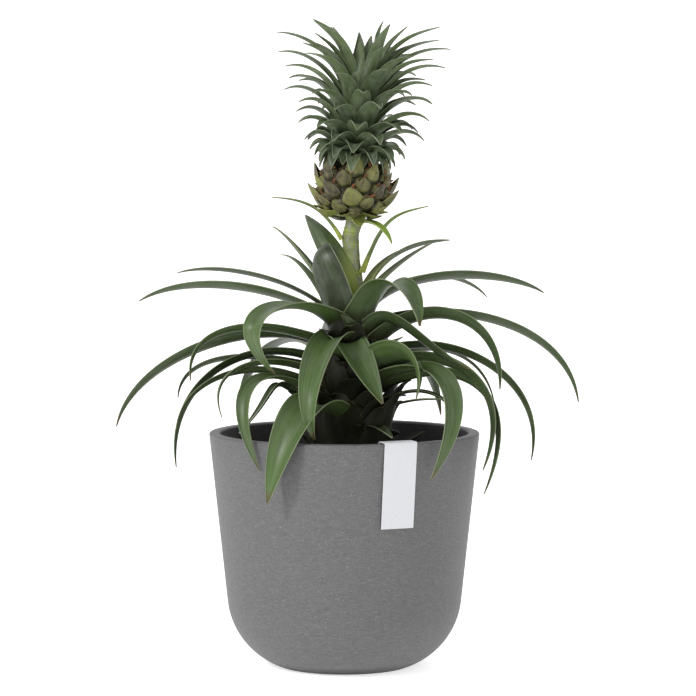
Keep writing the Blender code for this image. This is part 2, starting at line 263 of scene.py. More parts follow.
# one crumb, and its copies at random places, sizes and turns
chance = random.Random(11)
bpy.ops.object.select_all(action="DESELECT")
bpy.ops.mesh.primitive_ico_sphere_add(subdivisions=2, radius=1, location=(0, 0, 0))
crumb = bpy.context.object
edit(crumb)
bpy.ops.mesh.select_all(action="SELECT")
bpy.ops.transform.vertex_random(offset=0.25, seed=2)
leave_edit()
crumbs = []
for number in range(CRUMBS):
    twin = copy_of(crumb, f"crumb_{number}")
    reach = soil_radius * 0.96 * math.sqrt(chance.random())
    angle = chance.uniform(0, 2 * math.pi)
    size = chance.uniform(0.8, 2.6) * MM
    turn = Matrix.Rotation(chance.uniform(0, 6), 4, (chance.random(), chance.random(), 0.5))
    place = Matrix.Translation((reach * math.cos(angle), reach * math.sin(angle), soil_level))
    twin.data.transform(place @ turn @ Matrix.Diagonal((size, size * 0.8, size * 0.6, 1)))
    crumbs.append(twin)
bpy.data.objects.remove(crumb)
soil = join("soil_bed", crumbs + [soil])
smooth(soil, 40)
stands_for(soil, "potting_soil", "soil")
print("soil:", len(soil.data.polygons), "faces")

# %% [markdown]
# ## The label strap
# A stiff card strap folded over the rim: a short tail inside and a long face outside. It is one edge
# extruded along the fold, then given its thickness. It stays bare.

# %% Label strap
LABEL_WIDTH = 25 * MM
LABEL_DROP = 62 * MM
LABEL_TAIL = 16 * MM
LABEL_THICKNESS = 0.8 * MM
LABEL_AZIMUTH = math.radians(293.5)
GAP = 0.3 * MM
lean = math.tan(WALL_TAPER)
bulge = LABEL_WIDTH ** 2 / 8 / (RIM_RADIUS - POT_WALL)
label_inner = wall_radius(POT_HEIGHT, POT_WALL) - bulge - 2 * GAP - LABEL_THICKNESS
label_outer = RIM_RADIUS + GAP + LABEL_THICKNESS
label_top = POT_HEIGHT + GAP + LABEL_THICKNESS
fold = 1.2 * MM
# (out, up) along the strap: up the inner tail, over the rim, and down the face
label_path = [(label_inner - lean * LABEL_TAIL, label_top - LABEL_TAIL), (label_inner, label_top - fold)]
label_path += [(label_inner + 0.3 * fold, label_top - 0.3 * fold), (label_inner + fold, label_top)]
label_path += [(label_outer - fold, label_top), (label_outer - 0.3 * fold, label_top - 0.3 * fold)]
label_path += [(label_outer - lean * (fold + (LABEL_DROP - fold) * i / 8),
                label_top - fold - (LABEL_DROP - fold) * i / 8) for i in range(9)]
bpy.ops.object.select_all(action="DESELECT")
bpy.ops.mesh.primitive_plane_add(size=1, location=(0, 0, 0))
label = bpy.context.object
label.name = "label_card"
edit(label)
select_where(label, lambda place: place.x < 0)
bpy.ops.mesh.delete(type="VERT")
bpy.ops.mesh.select_all(action="SELECT")
bpy.ops.transform.resize(value=(1, LABEL_WIDTH, 1), center_override=(0.5, 0, 0))
bpy.ops.transform.translate(value=(label_path[0][0] - 0.5, 0, label_path[0][1]))
for (out0, up0), (out1, up1) in zip(label_path, label_path[1:]):
    bpy.ops.mesh.extrude_edges_move(TRANSFORM_OT_translate={"value": (out1 - out0, 0, up1 - up0)})
bpy.ops.mesh.select_all(action="SELECT")
bpy.ops.mesh.normals_make_consistent(inside=False)
leave_edit()
apply_modifier(label, "SOLIDIFY", thickness=LABEL_THICKNESS, offset=0)
apply_modifier(label, "BEVEL", width=0.15 * MM, segments=1, limit_method="ANGLE")
label.data.transform(Matrix.Rotation(LABEL_AZIMUTH, 4, "Z"))
smooth(label, 30)
stands_for(label, "label_card", "label_strap")

# %% [markdown]
# ## The blade
# Every leaf on a pineapple is the same sword-shaped blade: a narrow clasping foot, its full width a
# third of the way along, a long fine point, and a channel down the middle. One flat grid is shaped
# into that blade with proportional edits. Its length runs along X from 0 to 1, and its width is 1,
# so each leaf can stretch its own copy. The grid's UV map runs along (U) and across (V) the blade.


# %% Model one blade
def model_blade(name, along, across, widest, foot, channel, tip=0.05, hug=1.0):
    """A blade of that many cells. widest is the share of its length where it is widest, foot the
    foot's share of that width, and hug how much deeper its channel is at the foot."""
    bpy.ops.object.select_all(action="DESELECT")
    bpy.ops.mesh.primitive_grid_add(
        x_subdivisions=along, y_subdivisions=across, size=1, location=(0.5, 0, 0))
    blade = bpy.context.object
    blade.name = name
    bpy.ops.object.transform_apply(location=True)
    edit(blade)
    select_where(blade, lambda place: abs(place.y) > 0.499)
    bpy.ops.transform.translate(
        value=(0, 0, channel / 2), use_proportional_edit=True,
        proportional_edit_falloff="SHARP", proportional_size=0.5)
    select_where(blade, lambda place: place.x > 0.999)
    bpy.ops.transform.resize(
        value=(1, tip, tip), center_override=(1, 0, 0), use_proportional_edit=True,
        proportional_edit_falloff="SHARP", proportional_size=1 - widest)
    select_where(blade, lambda place: place.x < 0.001)
    bpy.ops.transform.resize(
        value=(1, foot, hug), center_override=(0, 0, 0), use_proportional_edit=True,
        proportional_edit_falloff="SMOOTH", proportional_size=widest)
    bpy.ops.mesh.select_all(action="SELECT")
    bpy.ops.transform.translate(value=(0, 0, -channel / 4))
    leave_edit()
    return blade


LEAF_THICKNESS = 0.7 * MM
rosette_blade = model_blade("rosette_blade", 44, 8, 0.28, 1.1, 0.4, hug=1.6)
print("blade:", len(rosette_blade.data.vertices), "points")

# %% [markdown]
# ## Bending a blade along its arch
# A leaf leaves the stem steeply, arches over and droops. That line is one Bezier curve with a handle
# at each end, so a Curve modifier on a copy of the blade bends it in one go, and the tilt of the
# curve's points rolls the blade about its middle.


# %% Grow a leaf along an arch
def turned_out(azimuth, out, up):
    """The point that far out from the axis and up, on that azimuth."""
    angle = math.radians(azimuth)
    return Vector((out * math.cos(angle), out * math.sin(angle), up))


def lay_guide(centre, row, root):
    """The Bezier midrib of a leaf: a curve of two points with their handles."""
    azimuth, foot, launch, rise, out, up, droop, fall, width, swerve, roll = row
    launch = math.radians(launch)
    droop = math.radians(droop)
    leave = (root + rise * math.cos(launch), foot + rise * math.sin(launch))
    arrive = (out - fall * math.cos(droop), up - fall * math.sin(droop))
    bpy.ops.object.select_all(action="DESELECT")
    bpy.ops.curve.primitive_bezier_curve_add(location=(0, 0, 0))
    guide = bpy.context.object
    guide.data.resolution_u = 64
    guide.data.twist_mode = "MINIMUM"
    guide.data.use_stretch = True
    guide.data.use_deform_bounds = True
    first, last = guide.data.splines[0].bezier_points
    for point in (first, last):
        point.handle_left_type = "FREE"
        point.handle_right_type = "FREE"
    first.co = centre + turned_out(azimuth, root, foot) * MM
    first.handle_right = centre + turned_out(azimuth, *leave) * MM
    first.handle_left = 2 * first.co - first.handle_right
    last.co = centre + turned_out(azimuth + swerve, out, up) * MM
    last.handle_left = centre + turned_out(azimuth + swerve / 3, *arrive) * MM
    last.handle_right = 2 * last.co - last.handle_left
    first.tilt = math.radians(roll) * 0.5
    last.tilt = math.radians(roll)
    return guide


def set_tone(piece, tone):
    """One number on every point, which the leaf's finish reads."""
    layer = piece.data.attributes.get("tone") or piece.data.attributes.new("tone", "FLOAT", "POINT")
    layer.data.foreach_set("value", [tone] * len(piece.data.vertices))


def grow_leaf(name, blade, centre, row, root, tone, thickness=LEAF_THICKNESS, seat=None):
    """A copy of the blade, as wide as its row says, bent along its midrib. seat moves it as a whole."""
    width = row[8] * MM
    leaf = copy_of(blade, name)
    leaf.data.transform(Matrix.Diagonal((0.1, width, width, 1)))
    guide = lay_guide(centre, row, root)
    apply_modifier(leaf, "CURVE", object=guide, deform_axis="POS_X")
    apply_modifier(leaf, "SOLIDIFY", thickness=thickness, offset=0, material_offset=1)
    if seat:
        leaf.data.transform(seat)
    set_tone(leaf, tone)
    bpy.data.curves.remove(guide.data)
    return leaf


print("guides ready")

# %% [markdown]
# ## The rosette
# Forty-two leaves climb the stem. Most rows repeat the arch that the leaf's solid has. Each adds a
# tone: 0 is the dark old green of a shaded leaf and 1 the fresh green of a young one. A real blade
# twists as it arches and shows its face, so many rows have a roll. Some are wider than the solid, and
# leaves 12, 13, 16, 18, 38 and 42 take another course, because the solids, unlike real leaves, have
# to keep well clear of one another.

# %% Rosette leaves
# azimuth, foot, launch, rise, out, up, droop, fall, width, swerve, roll, tone (millimetres, degrees)
LEAVES = [
    # left side
    (165, 245, 70, 30, 164, 268, -30, 50, 17, 0, 30, 0.35),
    (155, 250, 75, 30, 144, 288, -15, 40, 12, 0, 25, 0.3),
    (192, 230, 65, 20, 120, 212, -95, 60, 15, 0, 30, 0.4),
    (178, 225, 65, 45, 174, 176, -75, 65, 16, 0, 40, 0.3),
    (189, 216, 45, 50, 130, 148, -95, 80, 15, 0, 30, 0.2),
    (203, 206, 50, 35, 102, 186, -110, 55, 14, 0, 20, 0.35),
    (172, 214, 55, 10, 130, 196, -85, 50, 11, 0, 30, 0.2),
    (195, 196, 45, 55, 132, 178, -80, 45, 13, 0, 30, 0.25),
    (205, 180, 40, 75, 90, 176, -40, 55, 17, 0, 10, 0.2),
    # front
    (214, 188, 45, 65, 105, 152, -108, 80, 15, 18, 0, 0.5),
    (228, 244, 70, 40, 82, 218, -140, 95, 26, 0, 0, 0.6),
    (250, 176, 45, 71, 116, 131, -90, 62, 32, -11, -15, 0.7),
    (248, 233, 70, 41, 92, 174, -125, 50, 23, 6, 0, 0.65),
    (283, 238, 62, 12, 40, 262, 45, 15, 11, -22, 0, 0.2),
    (302, 243, 76, 8, 20, 254, 70, 6, 8, 0, 0, 0.6),
    (258, 222, 62, 44, 58, 199, -60, 46, 28, 37, 28, 0.6),
    (300, 172, 30, 20, 62, 174, -20, 20, 12, 0, 0, 0.1),
    (310, 216, 35, 52, 85, 202, -98, 36, 28, -4, -55, 0.6),
    (317, 226, 45, 20, 52, 246, 35, 10, 11, 0, 0, 0.4),
    (315, 248, 75, 53, 74, 254, -80, 40, 31, 0, 0, 0.55),
    # right side
    (325, 202, 48, 55, 104, 146, -112, 90, 20, -21, 0, 0.5),
    (330, 237, 68, 50, 100, 224, -15, 50, 18, 0, -45, 0.3),
    (332, 182, 40, 25, 84, 200, 0, 25, 7, 0, 0, 0.2),
    (338, 209, 57, 40, 106, 148, -110, 95, 19, 0, -40, 0.3),
    (345, 196, 50, 45, 106, 130, -110, 110, 17, -6, -40, 0.3),
    (345, 188, 45, 30, 84, 178, -75, 35, 10, 0, 0, 0.2),
    (356, 220, 55, 45, 135, 152, -100, 80, 15, 0, -30, 0.3),
    (347, 228, 58, 57, 114, 206, -90, 65, 20, 0, -40, 0.35),
    (10, 242, 70, 30, 175, 192, -80, 80, 17, 0, -25, 0.35),
    (17, 212, 50, 35, 114, 192, -75, 55, 10, 0, 0, 0.2),
    (20, 252, 75, 45, 156, 274, -30, 35, 20, 0, -25, 0.35),
    # back
    (30, 262, 80, 45, 86, 314, 5, 25, 17, 0, -20, 0.35),
    (42, 249, 75, 45, 142, 268, -40, 40, 11, 0, -15, 0.3),
    (50, 256, 80, 25, 106, 312, 10, 20, 9, 0, -10, 0.35),
    (58, 208, 55, 60, 135, 175, -75, 55, 17, 0, 0, 0.2),
    (78, 214, 55, 60, 150, 195, -65, 60, 17, 0, 0, 0.25),
    (98, 222, 60, 60, 160, 190, -65, 60, 17, 0, 0, 0.3),
    (240, 250, 65, 46, 20, 284, -110, 46, 28, -100, 0, 0.05),
    (126, 210, 55, 60, 150, 180, -70, 60, 17, 0, 0, 0.25),
    (127, 240, 66, 35, 88, 301, -5, 25, 8, 0, 0, 0.3),
    (150, 258, 80, 15, 66, 324, 5, 10, 15, 0, 20, 0.4),
    (262, 263, 85, 25, 42, 330, 38, 26, 19, -122, 10, 0.3),
]

stem_low, stem_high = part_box("stem_base")
PLANT = Vector(((stem_low[0] + stem_high[0]) / 2, 0, 0))
STEM_BASE_RADIUS = 20
STEM_TOP_RADIUS = 8.5


def stem_radius(height):
    """The stem's radius in millimetres at a height in millimetres."""
    low, high = stem_low[2] / MM, stem_high[2] / MM
    return STEM_BASE_RADIUS + (height - low) / (high - low) * (STEM_TOP_RADIUS - STEM_BASE_RADIUS)


rosette = []
for number, row in enumerate(LEAVES, 1):
    root = stem_radius(row[1]) + 0.5
    leaf = grow_leaf(f"rosette_leaf_{number:02d}", rosette_blade, PLANT, row[:11], root, row[11])
    smooth(leaf)
    stands_for(leaf, "rosette_leaf", f"leaf_{number:02d}")
    rosette.append(leaf)
print("rosette:", len(rosette), "leaves of", len(rosette[0].data.polygons), "faces")

# %% [markdown]
# ## The heart of the rosette
# Between the long leaves the stem never shows: short broad leaf bases clasp it from the soil up. They
# are more copies of the blade, set round the stem by the golden angle, and one piece in all.

# %% Leaf bases round the stem
GOLDEN_ANGLE = 137.508
SHEATHS = 64
chance = random.Random(3)
sheaths = []
for number in range(SHEATHS):
    climb = number / (SHEATHS - 1)
    foot = 133 + 100 * climb
    reach = chance.uniform(11, 21) + (number % 3 == 0) * chance.uniform(13, 27) * (1 - 0.8 * climb)
    up = foot + chance.uniform(34, 56) - 26 * climb
    course = (number * GOLDEN_ANGLE, foot, chance.uniform(55, 75), 26, stem_radius(foot) + reach, up,
              chance.uniform(-10, 60), 14, 27 - 7 * climb, chance.uniform(-12, 12), 0)
    sheaths.append(grow_leaf(f"sheath_{number}", rosette_blade, PLANT, course, stem_radius(foot) + 0.4,
                             chance.random() * 0.6))
# a few old bases stand further out on either side: azimuth, foot, reach of the tip, its height
OUTER_BASES = [(305, 140, 41, 196), (325, 150, 47, 206), (345, 158, 46, 214), (15, 165, 43, 216),
               (200, 158, 44, 210), (225, 145, 40, 198)]
for turn, foot, reach, up in OUTER_BASES:
    course = (turn, foot, 60, 26, reach, up, 15, 14, 27, 0, 0)
    sheaths.append(grow_leaf(f"outer_{turn}", rosette_blade, PLANT, course, stem_radius(foot) + 0.4,
                             chance.random() * 0.4))
heart = join("leaf_bases", sheaths)
smooth(heart)
stands_for(heart, "leafy_stem")
print("heart:", len(sheaths), "leaf bases")

# %% [markdown]
# ## The stalk
# The stalk is a round green rod with a ring at each place a bract once grew. It is raised ring by
# ring like the pots, with each ring shifted so that the rod leans as the solid does.

# %% Stalk with its rings
STALK_RADIUS = 6.5 * MM
STALK_COURSE = [(4, 265.3), (4, 270), (7.5, 282), (5, 304), (4.5, 316), (7, 328), (7, 331)]
RING_SPACING = 10.2
RING_FIRST = 272


def stalk_x(height):
    """Where the stalk's centre line stands at a height, in millimetres."""
    for (x0, low), (x1, high) in zip(STALK_COURSE, STALK_COURSE[1:]):
        if height <= high:
            break
    share = min(1, max(0, (height - low) / (high - low)))
    share = share * share * (3 - 2 * share)
    return x0 + (x1 - x0) * share


stalk_foot, stalk_head = STALK_COURSE[0][1], STALK_COURSE[-1][1]
stalk_outline = []
for step in range(67):
    height = stalk_foot + step
    phase = ((height - RING_FIRST) % RING_SPACING) / RING_SPACING
    swell = 0.5 * math.exp(-(min(phase, 1 - phase) * RING_SPACING) ** 2 / 1.2)
    stalk_outline.append((STALK_RADIUS * (0.95 + 0.08 * swell), min(height, stalk_head) * MM))
stalk = raise_rings("stalk_rod", stalk_outline, 40)
for vertex in stalk.data.vertices:
    vertex.co.x += stalk_x(vertex.co.z / MM) * MM
smooth(stalk, 60)
stands_for(stalk, "stalk_skin", "fruit_stalk")
print("stalk:", len(stalk.data.polygons), "faces")

# %% [markdown]
# ### The stalk's bracts
# Three narrow leaves grow from the stalk: two stand up beside it, and the youngest hangs from under
# the fruit. They are copies of the same blade, rooted where the leaning stalk has its centre line.

# %% Stalk bracts
STALK_SURFACE = 7.2
STALK_BRACTS = [  # the same columns as the rosette's leaves
    (178, 314, 65, 30, 58, 346, 5, 20, 8, 0, 0, 0.2),
    (355, 290, 72, 45, 55, 340, 15, 25, 11, 0, 0, 0.4),
    (320, 327, 15, 10, 37, 312, -62, 14, 9, 0, 0, 1.0),
]
bracts = []
for number, row in enumerate(STALK_BRACTS, 1):
    centre = Vector((stalk_x(row[1]) * MM, 0, 0))
    bract = grow_leaf(f"bract_{number}", rosette_blade, centre, row[:11], STALK_SURFACE, row[11])
    smooth(bract)
    stands_for(bract, "bract_leaf", f"stalk_bract_{number}")
    bracts.append(bract)
print("bracts:", len(bracts))

# %% [markdown]
# ## The fruit
# A pineapple is many small fruits grown together, set in spirals. One fruitlet is modelled: a
# rounded pad with a pointed bract that clasps it from below and ends in a dry tip. Copies of it go
# round the barrel, each turned by the golden angle, which is how the plant itself spaces them.

# %% One fruitlet
bract_blade = model_blade("fruit_bract_blade", 10, 4, 0.25, 0.9, 0.55, 0.04)
bpy.ops.object.select_all(action="DESELECT")
bpy.ops.mesh.primitive_uv_sphere_add(segments=14, ring_count=8, radius=1, location=(0, 0, 0))
pad = bpy.context.object
pad.data.transform(Matrix.Diagonal((3.0 * MM, 6.4 * MM, 5.6 * MM, 1)))
# the clasping bract, the sepals and the dried petals, in the columns of the rosette's leaves
bract_course = (0, -6.8, 20, 4, 8.6, 6.2, 78, 5, 13, 0, 0)
sepal_course = (0, -5.6, 35, 3.5, 5.8, 2.4, 85, 3, 8, 0, 0)
scale_leaf = grow_leaf("scale_leaf", bract_blade, Vector(), bract_course, 1.0, 0.5, 0.5 * MM)
sepal = grow_leaf("sepal", bract_blade, Vector(), sepal_course, 1.0, 0.5, 0.5 * MM)
floret_rows = [(-30, 0, 30, 1, 7.6, 3.8, 10, 2, 2.6, 0, 60),
               (20, 0.5, 40, 1, 7.0, 5.2, -20, 2, 2.4, 30, -50),
               (5, -0.5, 10, 1, 8.0, 1.6, 40, 2, 2.2, -20, 20)]
dry_floret = join("dry_floret", [
    grow_leaf(f"dry_{i}", bract_blade, Vector((0, 0, 1.5 * MM)), row, 3.0, 0.5, 0.4 * MM)
    for i, row in enumerate(floret_rows)])
print("fruitlet:", len(pad.data.polygons) + len(scale_leaf.data.polygons), "faces")

# %% [markdown]
# ### The fruit's spirals
# The fruitlets sit on a barrel that is full in the middle and round at both ends. Each copy is moved
# out to the barrel, tilted to its slope, and made smaller where the barrel narrows. The topmost are
# crowded under the crown, and the lowest few have already lost their dried flowers.

# %% Set the fruitlets round the barrel
fruit_low, fruit_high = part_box("fruit")
FRUIT_X = (fruit_low[0] + fruit_high[0]) / 2
FRUIT_BASE = fruit_low[2]
FRUIT_HEIGHT = fruit_high[2] - fruit_low[2]
FRUIT_RADIUS = (fruit_high[0] - fruit_low[0]) / 2
FRUITLETS = 40


def barrel_radius(share):
    """The barrel under the fruitlets, at a share of its height."""
    return (FRUIT_RADIUS - 4 * MM) * (1 - abs(2 * share - 1) ** 2.6) ** 0.5 + 2 * MM


BARREL_RINGS = 16
barrel_outline = []
for ring in range(BARREL_RINGS + 1):
    share = 0.5 - 0.5 * math.cos(math.pi * ring / BARREL_RINGS)
    barrel_outline.append((barrel_radius(share), FRUIT_BASE + FRUIT_HEIGHT * share))
barrel = raise_rings("fruit_barrel", barrel_outline, 48)
barrel.data.transform(Matrix.Translation((FRUIT_X, 0, 0)))

chance = random.Random(7)
pads = [barrel]
scales = []
florets = []
for number in range(FRUITLETS):
    share = 0.06 + 0.86 * (number + 0.5) / FRUITLETS
    height = FRUIT_BASE + FRUIT_HEIGHT * share
    radius = barrel_radius(share)
    above, below = barrel_radius(min(1, share + 0.02)), barrel_radius(max(0, share - 0.02))
    slope = (above - below) / (0.04 * FRUIT_HEIGHT)
    tilt = math.atan(slope) * 0.8
    place = (Matrix.Translation((FRUIT_X, 0, height))
             @ Matrix.Rotation(math.radians(number * GOLDEN_ANGLE + chance.uniform(-4, 4)), 4, "Z")
             @ Matrix.Translation((radius - 1 * MM, 0, 0))
             @ Matrix.Rotation(tilt, 4, "Y")
             @ Matrix.Scale(chance.uniform(0.92, 1.06) * (0.72 + 0.28 * radius / FRUIT_RADIUS), 4))
    twin = copy_of(pad, f"pad_{number}")
    twin.data.transform(place)
    pads.append(twin)
    tone = chance.uniform(0.15, 0.75)
    for part, turn in ((sepal, 118), (sepal, -118), (scale_leaf, 0)):
        twin = copy_of(part, f"{part.name}_{number}")
        spin = math.radians(turn + chance.uniform(-14, 14))
        twin.data.transform(place @ Matrix.Rotation(spin, 4, "X")
                            @ Matrix.Scale(chance.uniform(0.88, 1.12), 4))
        set_tone(twin, min(1, max(0, tone + chance.uniform(-0.2, 0.2))))
        scales.append(twin)
    if share > 0.25:
        twin = copy_of(dry_floret, f"floret_{number}")
        twin.data.transform(place @ Matrix.Rotation(chance.uniform(-0.8, 0.8), 4, "X"))
        florets.append(twin)
for pattern in (pad, scale_leaf, sepal, dry_floret):
    bpy.data.objects.remove(pattern)
fruit = join("fruit_body", pads)
smooth(fruit)
stands_for(fruit, "fruit_skin", "fruit")
fruit_bracts = join("fruit_bracts", scales)
smooth(fruit_bracts)
stands_for(fruit_bracts, "fruit_skin")
print("fruit:", len(fruit.data.polygons) + len(fruit_bracts.data.polygons), "faces")

# %% [markdown]
# ### Green bracts under the fruit
# A ring of short green bracts spreads below the lowest fruitlets, where the stalk widens into the
# fruit. They are copies of the fruitlets' own bract, stretched.

# %% Green bracts under the fruit
# azimuth, out, up
SKIRT = [(180, 30, 341), (208, 27, 337), (246, 24, 334), (283, 20, 326), (322, 22, 333), (355, 25, 336),
         (30, 27, 340), (75, 26, 337), (110, 27, 340), (145, 26, 336)]
fruit_foot = FRUIT_BASE / MM
skirt = []
for azimuth, out, up in SKIRT:
    course = (azimuth, fruit_foot + 1, 5, 8, out, up, 15, 6, 12, 0, 0)
    skirt.append(grow_leaf(f"skirt_{azimuth}", bract_blade, Vector((FRUIT_X, 0, 0)), course, 7,
                           chance.uniform(0.4, 1), 0.5 * MM))
fruit_skirt = join("fruit_skirt", skirt)
smooth(fruit_skirt)
stands_for(fruit_skirt, "bract_leaf")
print("skirt:", len(skirt), "bracts")

# %% [markdown]
# ### The dried flowers
# Each fruitlet was a flower once, and its petals stay on it as a brown wisp. The wisps were set with
# their fruitlets, and are one piece here, because they have a finish of their own.

# %% Join the dried flowers
dry_florets = join("dry_florets", florets)
smooth(dry_florets)
stands_for(dry_florets, "fruit_skin")
print("dried flowers:", len(florets))

# %% [markdown]
# ## The crown
# The crown is a second, smaller rosette on top of the fruit. Its leaves are the same blade, shorter
# and closer, from leaves that curl down over the fruit to a tuft that stands nearly upright.

# %% Where each crown leaf's tip stands
# azimuth, out, up: degrees, and millimetres from the crown's leaning axis and above the fruit
CROWN_TIPS = [
    # left side, from the bottom up
    (172, 31, 1), (190, 35, 5), (180, 39, 12), (196, 46, 24), (176, 47, 32), (188, 46, 39),
    (178, 57, 47), (168, 48, 55), (186, 58, 64), (177, 64, 74), (198, 48, 82), (182, 66, 88),
    (192, 38, 90), (174, 39, 99), (160, 26, 96),
    # right side
    (5, 32, -2), (-8, 39, 5), (8, 39, 15), (-4, 51, 20), (6, 46, 26), (-6, 53, 35), (4, 53, 48),
    (14, 43, 46), (-5, 52, 61), (10, 47, 65), (0, 60, 75), (-8, 50, 80), (3, 62, 89), (12, 54, 95),
    (-4, 52, 104), (16, 29, 102),
    # front
    (268, 34, -9), (244, 35, 0), (295, 35, -2), (268, 38, 6), (225, 38, 4), (320, 38, 2),
    (246, 42, 13), (296, 42, 14), (270, 44, 23), (232, 48, 22), (315, 47, 24), (247, 46, 36),
    (290, 46, 40), (272, 42, 50), (225, 50, 46), (318, 50, 52), (244, 44, 62), (293, 44, 68),
    (222, 46, 74), (320, 45, 80), (290, 34, 84), (203, 46, 84),
    # the tuft
    (305, 26, 101), (340, 10, 103), (218, 50, 99), (240, 9, 88), (70, 8, 92), (110, 16, 94),
    (150, 30, 96),
    # short dry leaves that curl down round the fruit's top
    (160, 27, -2), (187, 26, -8), (204, 29, -3), (226, 25, -9), (252, 27, -4), (284, 25, -8),
    (309, 28, -3), (337, 26, -9), (356, 29, -4), (19, 26, -7), (50, 27, -5), (80, 26, -3), (115, 28, -6),
    (140, 25, -4),
]
BACK_LEAVES = 26


def crown_reach(up):
    """How far the crown's leaves reach at a height: widest three quarters of the way up."""
    return 34 + 26 * math.sin(math.pi * min(1, (up + 5) / 150)) - 40 * max(0, up / 100 - 0.85) / 0.2


def crown_course(azimuth, out, up):
    """A crown leaf's arch: low leaves curl down over the fruit, and high ones stand up."""
    foot = max(1, 0.48 * up - 1)
    width = 16.5 - 0.035 * up if up > 0 else 12
    steepness = math.degrees(math.atan2(up, out))
    droop = -62 + 0.83 * steepness if steepness < 45 else min(72, -25 + 2.6 * (steepness - 45))
    return (azimuth, foot, 42 + 0.34 * up, 14 + 0.26 * up, out, up, droop, 15 + 0.06 * up, width, 0, 0)


print("crown tips:", len(CROWN_TIPS))

# %% [markdown]
# ### Growing the crown
# The crown leans a little on the fruit. Its leaves could be set by the golden angle like the stem's,
# but a real crown is less even, so the front ones each have a place of their own and the back ones
# fall at random. They are sorted from the bottom up and joined into seven whorls, one for each solid.

# %% Crown leaves, whorl by whorl
CROWN_LEAN = math.radians(6)
CROWN_STEM_HEIGHT = 68
CROWN_STEM_RADIUS = 9
CROWN_STEM_TAPER = 4.5
fruit_top = FRUIT_BASE + FRUIT_HEIGHT
crown_place = Matrix.Translation((FRUIT_X, 0, fruit_top)) @ Matrix.Rotation(CROWN_LEAN, 4, "Y")
crown_blade = model_blade("crown_blade", 24, 6, 0.3, 1.0, 0.45, hug=1.3)
chance = random.Random(5)
tips = list(CROWN_TIPS)
for number in range(BACK_LEAVES):
    up = -4 + 100 * number / (BACK_LEAVES - 1)
    tips.append((chance.uniform(22, 158), crown_reach(up) * chance.uniform(0.85, 1.05), up))
tips.sort(key=lambda tip: tip[2])
crown = []
WHORLS = 7
for number in range(WHORLS):
    leaves = []
    for azimuth, out, up in tips[len(tips) * number // WHORLS:len(tips) * (number + 1) // WHORLS]:
        course = crown_course(azimuth, out, up)
        root = CROWN_STEM_RADIUS - CROWN_STEM_TAPER * course[1] / CROWN_STEM_HEIGHT
        # painted shade: the tone rises with height, so the lower leaves are darker, for the shade the upper
        # leaves cast on them
        tone = chance.uniform(0, 0.35) + 0.3 * max(0, up) / 100
        leaves.append(grow_leaf(f"crown_{azimuth:.0f}_{up:.0f}", crown_blade, Vector(), course, root,
                                tone, 0.6 * MM, crown_place))
    whorl = join(f"crown_leaves_{number + 1}", leaves)
    smooth(whorl)
    stands_for(whorl, "crown_leaf", f"crown_whorl_{number + 1}")
    crown.append(whorl)
for pattern in (crown_blade, bract_blade, rosette_blade):
    bpy.data.objects.remove(pattern)
print("crown:", len(tips), "leaves")

# %% [markdown]
# ## Finishes
# Colours are picked as sRGB hex values and turned to the linear numbers that a shader takes. One
# helper adds a node, with its settings and its links, to the material being made.


# %% Material tools
def linear(hex_colour):
    """An sRGB hex colour as linear RGBA."""
    parts = [int(hex_colour[i:i + 2], 16) / 255 for i in (1, 3, 5)]
    return (*[c / 12.92 if c <= 0.04045 else ((c + 0.055) / 1.055) ** 2.4 for c in parts], 1)


def add_node(material, kind, sockets=None, stops=None, **settings):
    """Adds a node. sockets maps a socket to a value, or to the output that is linked to it, and
    stops are a colour ramp's (position, hex colour or grey value) pairs."""
    tree = material.node_tree
    node = tree.nodes.new("ShaderNode" + kind)
    for name, value in settings.items():
        setattr(node, name, value)
    for name, value in (sockets or {}).items():
        if isinstance(value, bpy.types.NodeSocket):
            tree.links.new(value, node.inputs[name])
        else:
            node.inputs[name].default_value = value
    if stops:
        ramp = node.color_ramp
        while len(ramp.elements) < len(stops):
            ramp.elements.new(0.5)
        for element, (position, colour) in zip(ramp.elements, stops):
            element.position = position
            element.color = linear(colour) if isinstance(colour, str) else (colour, colour, colour, 1)
    return node


def new_material(name, roughness, ior=1.45):
    """A material with its Principled shader's plain values set."""
    material = bpy.data.materials.new(name)
    material.use_nodes = True
    shader = material.node_tree.nodes["Principled BSDF"]
    shader.inputs["Roughness"].default_value = roughness
    shader.inputs["IOR"].default_value = ior
    return material, shader


def coat(material, shader, colour, relief=None, strength=0, depth=0):
    """Gives the shader its colour and, from a height pattern, its relief."""
    link = material.node_tree.links.new
    link(colour, shader.inputs["Base Color"])
    if relief is not None:
        bump = add_node(material, "Bump", {"Height": relief, "Strength": strength, "Distance": depth})
        link(bump.outputs[0], shader.inputs["Normal"])


def wear(piece, *materials):
    """Puts these materials in the piece's slots."""
    piece.data.materials.clear()
    for material in materials:
        piece.data.materials.append(material)


print("material tools ready")


# %% [markdown]
# ### Leaf skin
# A pineapple leaf is a tough strap: dark green above with fine lengthwise veins, a grey bloom of
# scales that is thicker underneath, a pale line along each margin, a foot colour where it clasps the
# stem, yellowish on young leaves and painted shade on older ones, and a dry tip. The blade's own UV map
# says how far along and across each point is.

# %% Leaf materials
VEIN_SPACING = 0.8  # millimetres between the veins of a 16 mm leaf
STREAK_WIDTH = 2.2


